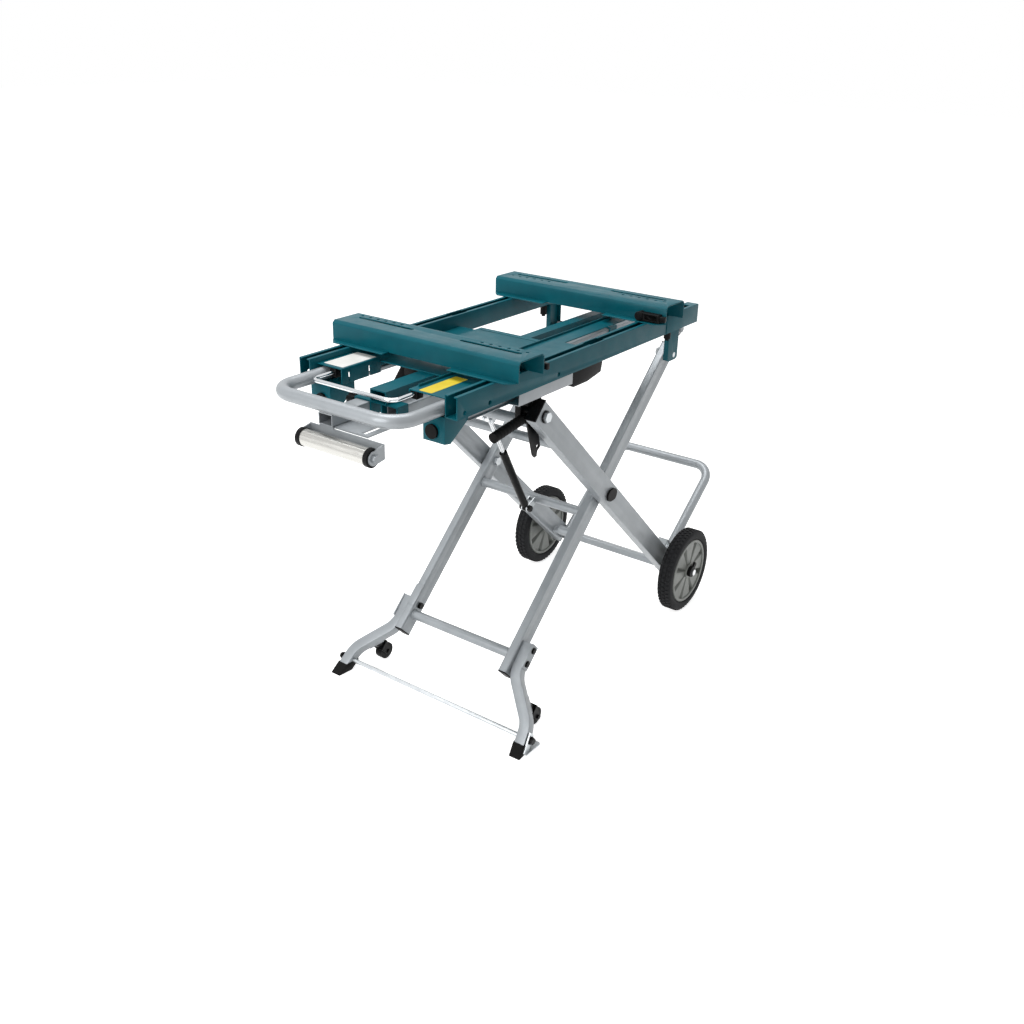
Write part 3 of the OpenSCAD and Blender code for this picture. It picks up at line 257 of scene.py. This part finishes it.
black_rubber = finish_named("moulded black rubber", "#101010", roughness=0.7, sheen_level=0.12)
soft_noise_colour(black_rubber, 12, "#0D0D0D", "#141414")
bump(black_rubber, noise(black_rubber, 1.5, 3.0), 0.08, 0.4)

tyre_rubber = finish_named("tyre rubber", "#17181A", roughness=0.75, sheen_level=0.25)
soft_noise_colour(tyre_rubber, 18, "#131416", "#1D1E20")
bump(tyre_rubber, noise(tyre_rubber, 2.0, 3.0), 0.1, 0.4)

# %% [markdown]
# The wheel discs are injection-moulded plastic in a flat silver-grey, and
# the two stickers are plain satin vinyl: one white, one yellow.

# %% Wheel plastic and sticker vinyl
wheel_plastic = finish_named("silver-grey wheel plastic", "#7E817D", metallic=0.08, roughness=0.42)
soft_noise_colour(wheel_plastic, 35, "#7A7D79", "#838682")
rough_noise(wheel_plastic, 10, 0.36, 0.5)

white_vinyl = finish_named("white vinyl", "#E4E4E0", roughness=0.45)
soft_noise_colour(white_vinyl, 25, "#DDDDD8", "#E9E9E6")

yellow_vinyl = finish_named("yellow vinyl", "#E3C92B", roughness=0.42)
soft_noise_colour(yellow_vinyl, 25, "#DEC324", "#E9D038")

# %% Which finish each solid takes
FINISHES = {
    "teal_paint": teal_enamel,
    "grey_paint": silver_powder,
    "bright_steel": zinc_plate,
    "chrome": chrome_rod,
    "black_steel": black_enamel,
    "black_plastic": black_nylon,
    "black_rubber": black_rubber,
    "tyre": tyre_rubber,
    "wheel_rim": wheel_plastic,
}
OWN_FINISH = {
    "front_roller": roller_steel,
    "rear_roller": roller_steel,
    "strut_rod": ground_rod,
    "axle_rod": ground_rod,
}
slot_of = {part["node"]: part["material_slot"] for part in frame["record"]["subparts"]}
bodies = frame["record"]["behaviour"]["bodies"]
body_of = {part: body for body, parts in bodies.items() for part in parts}


def paint(obj, finish):
    obj.data.materials.clear()
    obj.data.materials.append(finish)


for name, obj in frame["nodes"].items():
    paint(obj, OWN_FINISH.get(name, FINISHES[slot_of[name]]))
    smooth(obj)
print("painted", len(frame["nodes"]), "solids")

# %% [markdown]
# Real tube and folded sheet never has knife edges, and it is the thin bright
# line along an edge that tells the eye so. A copy of each such solid has its
# triangles merged into whole faces, and its edges bevelled: long edges get
# the tube's or the sheet's bend, short ones only lose their burr.


# %% Soften the edges of tube and sheet
FLAT = math.radians(0.6)
SHARP = math.radians(40)


def soften(name, bend_mm, burr_mm=0.4, long_mm=60):
    source = frame["nodes"][name]
    copy = source.copy()
    copy.data = source.data.copy()
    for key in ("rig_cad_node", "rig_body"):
        del copy[key]
    copy.parent = None
    put_in_scene(copy)
    only(copy)
    bpy.ops.object.mode_set(mode="EDIT")
    bpy.ops.mesh.select_all(action="SELECT")
    bpy.ops.mesh.remove_doubles(threshold=0.01 * MM)
    bpy.ops.mesh.dissolve_limited(angle_limit=FLAT)
    bpy.ops.object.mode_set(mode="OBJECT")
    mesh = bmesh.new()
    mesh.from_mesh(copy.data)
    layers = mesh.edges.layers.float
    weight = layers.get("bevel_weight_edge") or layers.new("bevel_weight_edge")
    for edge in mesh.edges:
        sharp = len(edge.link_faces) == 2 and edge.calc_face_angle() > SHARP
        if sharp and edge.is_convex:
            edge[weight] = 1.0 if edge.calc_length() > long_mm * MM else burr_mm / bend_mm
    mesh.to_mesh(copy.data)
    mesh.free()
    bend = copy.modifiers.new("bend", "BEVEL")
    bend.limit_method = "WEIGHT"
    bend.width = bend_mm * MM
    bend.segments = 3
    bend.use_clamp_overlap = False
    bend.miter_outer = "MITER_ARC" if bend_mm < 1 else "MITER_SHARP"
    bpy.ops.object.modifier_apply(modifier="bend")
    settle(copy, name + "_soft")
    smooth(copy)
    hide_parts(name)
    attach(copy, body_of[name])


LEG_BEND = 4.0
ARM_BEND = 2.0
SHEET_BEND = 1.2
PLATE_BEND = 0.8
for name in ("wheel_leg_near", "wheel_leg_far", "foot_leg_near", "foot_leg_far"):
    soften(name, LEG_BEND)
# the feet's bends are made of strips a few millimetres long
soften("feet", 1.1, long_mm=2)
for name in ("front_arm", "rear_arm"):
    soften(name, ARM_BEND)
for name in ("rail_near", "rail_far", "front_crossbar", "rear_crossbar", "rear_member", "guide_channels",
             "pivot_posts", "front_blocks"):
    soften(name, SHEET_BEND)
for name in ("cross_plate", "near_shelf", "far_shelf", "foot_plates"):
    soften(name, PLATE_BEND)
for name in ("stop_blocks", "carriage_blocks", "foot_shoes", "leg_plugs", "bail_clips", "front_clamp",
             "rear_clamp"):
    soften(name, 1.5, 1.0, 10)
print("softened edges")

# %% [markdown]
# The tyre is a solid rubber ring with a blocky tread. Its section is a plane
# with rounded corners, spun round the axle, and one tread block is modelled
# and copied round in three staggered rows.


# %% Tyres with tread blocks
def rounded_section(centre, width, height, corner):
    bpy.ops.mesh.primitive_plane_add(size=1, location=centre, rotation=(math.pi / 2, 0, math.pi / 2))
    section = bpy.context.object
    section.scale = (width, height, 1)
    bpy.ops.object.transform_apply(location=True, rotation=True, scale=True)
    bpy.ops.object.mode_set(mode="EDIT")
    bpy.ops.mesh.select_all(action="SELECT")
    bpy.ops.mesh.bevel(offset=corner, segments=5, affect="VERTICES")
    bpy.ops.mesh.delete(type="ONLY_FACE")
    return section


def spun(section, centre, steps):
    bpy.ops.mesh.select_all(action="SELECT")
    bpy.ops.mesh.spin(steps=steps, angle=2 * math.pi, center=centre, axis=(0, 1, 0))
    bpy.ops.mesh.select_all(action="SELECT")
    bpy.ops.mesh.remove_doubles(threshold=0.02 * MM)
    bpy.ops.mesh.normals_make_consistent(inside=False)
    bpy.ops.object.mode_set(mode="OBJECT")
    return section


TREAD = 2.6 * MM
TYRE_DEPTH = 25 * MM
TYRE_SHOULDER = 8 * MM
BLOCKS = 54
# each row's place across the tyre, as a share of its width, and its shift
# along it, as a share of the pitch
BLOCK_ROWS = ((-0.29, 0.0), (0.0, 0.5), (0.29, 0.0))
SPIN_STEPS = 96


def tyre(side):
    low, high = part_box("tyre_" + side)
    centre = (low + high) / 2
    radius = (high.z - low.z) / 2
    width = high.y - low.y
    inner = radius - TYRE_DEPTH
    height = radius - TREAD - inner
    section = rounded_section((centre.x, centre.y, centre.z + inner + height / 2), width, height,
                              TYRE_SHOULDER)
    body = spun(section, centre, SPIN_STEPS)
    pitch = 2 * math.pi / BLOCKS
    block_long = 0.62 * pitch * radius
    parts = [body]
    for row, shift in BLOCK_ROWS:
        place = (centre.x, centre.y + row * width, centre.z + radius - TREAD)
        bpy.ops.mesh.primitive_cube_add(size=1, location=place)
        block = bpy.context.object
        block.scale = (block_long, 0.2 * width, 2 * TREAD - 0.4 * MM)
        bevel_edges(0.7 * MM, 1)
        for k in range(BLOCKS):
            copy = block.copy()
            copy.data = block.data.copy()
            turn = Matrix.Rotation((k + shift) * pitch, 4, "Y")
            copy.data.transform(Matrix.Translation(centre) @ turn @ Matrix.Translation(-centre))
            put_in_scene(copy)
            parts.append(copy)
        bpy.data.objects.remove(block)
    done = join(parts, "tyre_tread_" + side)
    paint(done, tyre_rubber)
    smooth(done, 40)
    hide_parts("tyre_" + side)
    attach(done, body_of["tyre_" + side])


for side in ("near", "far"):
    tyre(side)
print("tyres with", len(BLOCK_ROWS) * BLOCKS, "tread blocks each")

# %% [markdown]
# Each wheel disc is one moulding: a rim, a hub and between them a closed
# disc with eight broad flat spokes. A sharp valley lies between each two and
# gets deeper toward the rim, so that its walls catch the light in turns. The
# fan is a circle of twenty-four points: two on a spoke, one in a valley.


# %% Wheel discs with eight flat spokes
SPOKES = 8
VALLEY_DEPTH = 15 * MM
# half the distance between the disc's two faces at the hub
DISC_HALF = 15 * MM
RIM_BARREL = 8 * MM
HUB_RADIUS = 19 * MM
# a spoke's two edges and the valley after it, as shares of the spokes' pitch
FAN_PLACES = (-0.34, 0.34, 0.5)
VALLEY = 2


def disc(side):
    low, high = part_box("rim_" + side)
    centre = (low + high) / 2
    radius = (high.z - low.z) / 2
    width = high.y - low.y
    fan_radius = radius - RIM_BARREL * 0.6
    section = rounded_section((centre.x, centre.y, centre.z + radius - RIM_BARREL / 2), width - 2 * MM,
                              RIM_BARREL, 2.5 * MM)
    parts = [spun(section, centre, SPIN_STEPS)]
    for face in (-1, 1):
        bpy.ops.mesh.primitive_circle_add(vertices=3 * SPOKES, radius=fan_radius, fill_type="TRIFAN",
                                          location=(centre.x, centre.y + face * DISC_HALF, centre.z),
                                          rotation=(math.pi / 2, 0, 0))
        fan = bpy.context.object
        bpy.ops.object.transform_apply(location=True, rotation=True, scale=True)
        shape = bmesh.new()
        shape.from_mesh(fan.data)
        rim_points = sorted((v for v in shape.verts if (v.co - centre).xz.length > radius / 2),
                            key=lambda v: math.atan2(v.co.z - centre.z, v.co.x - centre.x))
        for k, point in enumerate(rim_points):
            spoke, place = divmod(k, 3)
            angle = math.radians(360 / SPOKES) * (spoke + FAN_PLACES[place])
            point.co.x = centre.x + fan_radius * math.cos(angle)
            point.co.z = centre.z + fan_radius * math.sin(angle)
            point.co.y -= face * (VALLEY_DEPTH if place == VALLEY else 0)
        if face > 0:
            bmesh.ops.reverse_faces(shape, faces=shape.faces)
        shape.to_mesh(fan.data)
        shape.free()
        parts.append(fan)
    bpy.ops.mesh.primitive_cylinder_add(vertices=48, radius=HUB_RADIUS, depth=width, location=centre,
                                        rotation=(math.pi / 2, 0, 0))
    bevel_edges(1.5 * MM, 2)
    parts.append(bpy.context.object)
    done = join(parts, "wheel_disc_" + side)
    paint(done, wheel_plastic)
    smooth(done, 8)
    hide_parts("rim_" + side)
    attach(done, body_of["rim_" + side])
    print("wheel disc", side, "of radius", round(radius, 4))


for side in ("near", "far"):
    disc(side)

# %% [markdown]
# The lock lever's grip is a soft sleeve pushed over a rod, with shallow rings
# for the fingers. A cylinder is cut across into short steps, four to a ring,
# and the points of two of the four are drawn in.


# %% Ringed grip on the lock lever
GRIP_LEAN = math.radians(7.7)
GRIP_RINGS = 9
RING_STEPS = 4
RING_WAIST = 0.93


def grip():
    low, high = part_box("lever_grip")
    centre = (low + high) / 2
    thick = high.y - low.y
    length = (high.x - low.x) / math.cos(GRIP_LEAN) - thick * math.tan(GRIP_LEAN) * 0.9
    bpy.ops.mesh.primitive_cylinder_add(vertices=40, radius=thick / 2, depth=length, location=centre,
                                        rotation=(0, math.pi / 2 - GRIP_LEAN, 0))
    sleeve = bpy.context.object
    steps = RING_STEPS * GRIP_RINGS
    cut = bmesh.new()
    cut.from_mesh(sleeve.data)
    for k in range(1, steps):
        place = -length / 2 + length * k / steps
        bmesh.ops.bisect_plane(cut, geom=cut.verts[:] + cut.edges[:] + cut.faces[:],
                               plane_co=(0, 0, place), plane_no=(0, 0, 1))
    for point in cut.verts:
        step = round((point.co.z + length / 2) / length * steps)
        if 2 <= step <= steps - 2 and step % RING_STEPS in (0, 1):
            point.co.x *= RING_WAIST
            point.co.y *= RING_WAIST
    cut.to_mesh(sleeve.data)
    cut.free()
    settle(sleeve, "lever_sleeve")
    paint(sleeve, black_rubber)
    smooth(sleeve, 30)
    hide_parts("lever_grip")
    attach(sleeve, "lock_lever")
    print("grip length", round(length, 4))


grip()

# %% [markdown]
# Round cross tubes are welded to the legs, and a weld leaves a rippled
# bead under the paint. A bead is a thin torus round the tube's end.


# %% Weld beads at the tube ends
BEAD_RADIUS = 1.8 * MM
BEAD_INWARD = 1.0 * MM
# ends nearer the middle than this stop in the air, and longer solids are no
# cross tubes
LEG_INNER_FACE = 0.12
LONGEST_TUBE = 0.4


def bead(name, centre, radius, body):
    bpy.ops.mesh.primitive_torus_add(major_radius=radius, minor_radius=BEAD_RADIUS, major_segments=40,
                                     minor_segments=8, location=centre, rotation=(math.pi / 2, 0, 0))
    ring = settle(bpy.context.object, name)
    paint(ring, silver_powder)
    smooth(ring, 60)
    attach(ring, body)


def boxes_of_tubes(name):
    """The low and the high corner of each separate tube in one solid."""
    copy = frame["nodes"][name].data.copy()
    shape = bmesh.new()
    shape.from_mesh(copy)
    bmesh.ops.remove_doubles(shape, verts=shape.verts, dist=0.01 * MM)
    left = set(shape.verts)
    found = []
    while left:
        todo = [left.pop()]
        island = []
        while todo:
            point = todo.pop()
            island.append(point.co.copy())
            for edge in point.link_edges:
                other = edge.other_vert(point)
                if other in left:
                    left.remove(other)
                    todo.append(other)
        low = Vector(min(p[i] for p in island) for i in range(3))
        high = Vector(max(p[i] for p in island) for i in range(3))
        found.append((low, high))
    shape.free()
    bpy.data.meshes.remove(copy)
    return found


count = 0
for name, body in (("wheel_tubes", "wheel_frame"), ("foot_tubes", "foot_frame")):
    for low, high in boxes_of_tubes(name):
        radius = (high.z - low.z) / 2
        centre = (low + high) / 2
        if high.y - low.y > LONGEST_TUBE:
            continue
        for y in (low.y, high.y):
            inward = BEAD_INWARD if y < 0 else -BEAD_INWARD
            if abs(y) > LEG_INNER_FACE:
                count += 1
                bead("weld_bead_%d" % count, (centre.x, y + inward, centre.z), radius, body)
print("weld beads", count)

# %% [markdown]
# Two plain stickers lie on the shelves: a white one on the short far shelf
# and a yellow one on the long near shelf. A sticker is a thin slip with
# rounded corners, so it starts as a plane, its corners are bevelled and it
# is given the thickness of vinyl.


# %% Plain stickers on the shelves
def sticker(name, low_x, high_x, low_y, high_y, z, finish):
    bpy.ops.mesh.primitive_plane_add(size=1, location=((low_x + high_x) / 2, (low_y + high_y) / 2, z))
    slip = bpy.context.object
    slip.scale = (high_x - low_x, high_y - low_y, 1)
    bpy.ops.object.transform_apply(location=True, rotation=True, scale=True)
    bpy.ops.object.mode_set(mode="EDIT")
    bpy.ops.mesh.select_all(action="SELECT")
    bpy.ops.mesh.bevel(offset=3 * MM, segments=4, affect="VERTICES")
    bpy.ops.mesh.select_all(action="SELECT")
    bpy.ops.mesh.extrude_region_move(TRANSFORM_OT_translate={"value": (0, 0, 0.35 * MM)})
    bpy.ops.mesh.select_all(action="SELECT")
    bpy.ops.mesh.normals_make_consistent(inside=False)
    bpy.ops.object.mode_set(mode="OBJECT")
    settle(slip, name)
    paint(slip, finish)
    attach(slip, "table")


GLUE = 0.05 * MM
# the near shelf's edge is folded up by this much beyond its sheet
NEAR_SHELF_LIP = 5 * MM
far_low, far_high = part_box("far_shelf")
near_low, near_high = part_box("near_shelf")
sticker("white_sticker", far_low.x + 8 * MM, far_high.x - 6 * MM, far_low.y + 5 * MM, far_high.y - 9 * MM,
        far_high.z + GLUE, white_vinyl)
sticker("yellow_sticker", near_low.x + 4 * MM, near_low.x + 110 * MM, near_high.y - 50 * MM,
        near_high.y - 20 * MM, near_high.z - NEAR_SHELF_LIP + GLUE, yellow_vinyl)
print("stickers on both shelves")

# %% [markdown]
# A wrap-round panel covers the rear end of each rail's outer face. It is a
# thin plate that stands a little proud, so its front edge shows as a seam.


# %% Rear panels on the rails
PANEL_LENGTH = 150 * MM
PANEL_SHEET = 1.1 * MM


def rail_panel(side):
    low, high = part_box("rail_" + side)
    outer_y = low.y - 0.6 * MM if side == "near" else high.y + 0.6 * MM
    place = (high.x - PANEL_LENGTH / 2, outer_y, (low.z + high.z) / 2)
    bpy.ops.mesh.primitive_cube_add(size=1, location=place)
    panel = bpy.context.object
    panel.scale = (PANEL_LENGTH, PANEL_SHEET, high.z - low.z - 1.0 * MM)
    bevel_edges(0.4 * MM, 2)
    settle(panel, "rail_panel_" + side)
    paint(panel, teal_enamel)
    smooth(panel)
    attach(panel, "table")


for side in ("near", "far"):
    rail_panel(side)
print("rail panels", round(PANEL_LENGTH, 3), "long")

# %% [markdown]
# The stand is shown on a plain pale floor before a white backdrop. Camera and
# mirror rays see both as white, while the floor's own diffuse part still
# goes darker under the stand, so the shadow stays.


# %% Floor and backdrop
def seen_rays(tree):
    """One for rays that come from the camera, from gloss or from glass."""
    path = tree.nodes.new("ShaderNodeLightPath")
    total = path.outputs["Is Camera Ray"]
    for kind in ("Is Glossy Ray", "Is Transmission Ray"):
        either = tree.nodes.new("ShaderNodeMath")
        either.operation = "MAXIMUM"
        tree.links.new(total, either.inputs[0])
        tree.links.new(path.outputs[kind], either.inputs[1])
        total = either.outputs[0]
    return total


FLOOR_GLOW = 0.78
bpy.ops.mesh.primitive_plane_add(size=40, location=(0, 0, 0))
floor = bpy.context.object
floor.name = "floor"
floor_paint = finish_named("pale floor", "#F4F4F3", roughness=0.9, sheen_level=0.1)
floor_glow = floor_paint.node_tree.nodes.new("ShaderNodeMath")
floor_glow.operation = "MULTIPLY"
floor_paint.node_tree.links.new(seen_rays(floor_paint.node_tree), floor_glow.inputs[0])
floor_glow.inputs[1].default_value = FLOOR_GLOW
shader_of(floor_paint).inputs["Emission Color"].default_value = linear("#FFFFFF")
wire(floor_paint, floor_glow.outputs[0], "Emission Strength")
floor.data.materials.append(floor_paint)

WORLD_LIGHT = 0.3
world = bpy.data.worlds.new("studio")
bpy.context.scene.world = world
world.use_nodes = True
sky = world.node_tree.nodes["Background"]
sky.inputs["Color"].default_value = linear("#FFFFFF")
sky_level = world.node_tree.nodes.new("ShaderNodeMapRange")
sky_level.inputs["To Min"].default_value = WORLD_LIGHT
sky_level.inputs["To Max"].default_value = 1.0
world.node_tree.links.new(seen_rays(world.node_tree), sky_level.inputs["Value"])
world.node_tree.links.new(sky_level.outputs["Result"], sky.inputs["Strength"])
print("floor glow", FLOOR_GLOW, "world light", WORLD_LIGHT)

# %% [markdown]
# Three soft lamps: a large one low in front of the stand, which reaches the
# legs under the table, one above the table, and a weak fill from the near side.


# %% Soft lamps
STAND_MIDDLE = Vector((0, 0, 0.45))


def lamp(name, place, size, power):
    light = bpy.data.lights.new(name, "AREA")
    light.energy = power
    light.size = size
    holder = bpy.data.objects.new(name, light)
    put_in_scene(holder)
    holder.location = place
    aim = STAND_MIDDLE - Vector(place)
    holder.rotation_euler = aim.to_track_quat("-Z", "Y").to_euler()


lamp("key", (-3.1, 0.4, 1.9), 2.2, 62)
lamp("fill", (0.8, -3.2, 1.8), 2.5, 5)
lamp("top", (0.2, 0.7, 3.7), 2.4, 80)
print("lamps", len(bpy.data.lights))

# %% [markdown]
# The camera stands where the photographer did: in front of the near corner
# and above the table, turned a little on its own axis.

# %% Camera at the photo's angle
CAMERA_PLACE = Vector((-1899.45, -1298.9, 1388.6)) * MM
LOOK = Vector((0.74103, 0.52832, -0.41443)).normalized()
ROLL = math.radians(1.37)
FOCAL_PIXELS = 1075.4
PHOTO_PIXELS = 1024
level_right = LOOK.cross(Vector((0, 0, 1))).normalized()
level_up = level_right.cross(LOOK)
right = level_right * math.cos(ROLL) + level_up * math.sin(ROLL)
up = level_up * math.cos(ROLL) - level_right * math.sin(ROLL)
lens = bpy.data.cameras.new("camera")
camera = bpy.data.objects.new("camera", lens)
put_in_scene(camera)
turn = Matrix((right, up, -LOOK)).transposed().to_4x4()
camera.matrix_world = Matrix.Translation(CAMERA_PLACE) @ turn
lens.sensor_width = 36
lens.lens = FOCAL_PIXELS / PHOTO_PIXELS * lens.sensor_width
bpy.context.scene.camera = camera
bpy.context.scene.view_settings.view_transform = "Standard"
print("camera", [round(v, 3) for v in CAMERA_PLACE], "lens", round(lens.lens, 2))
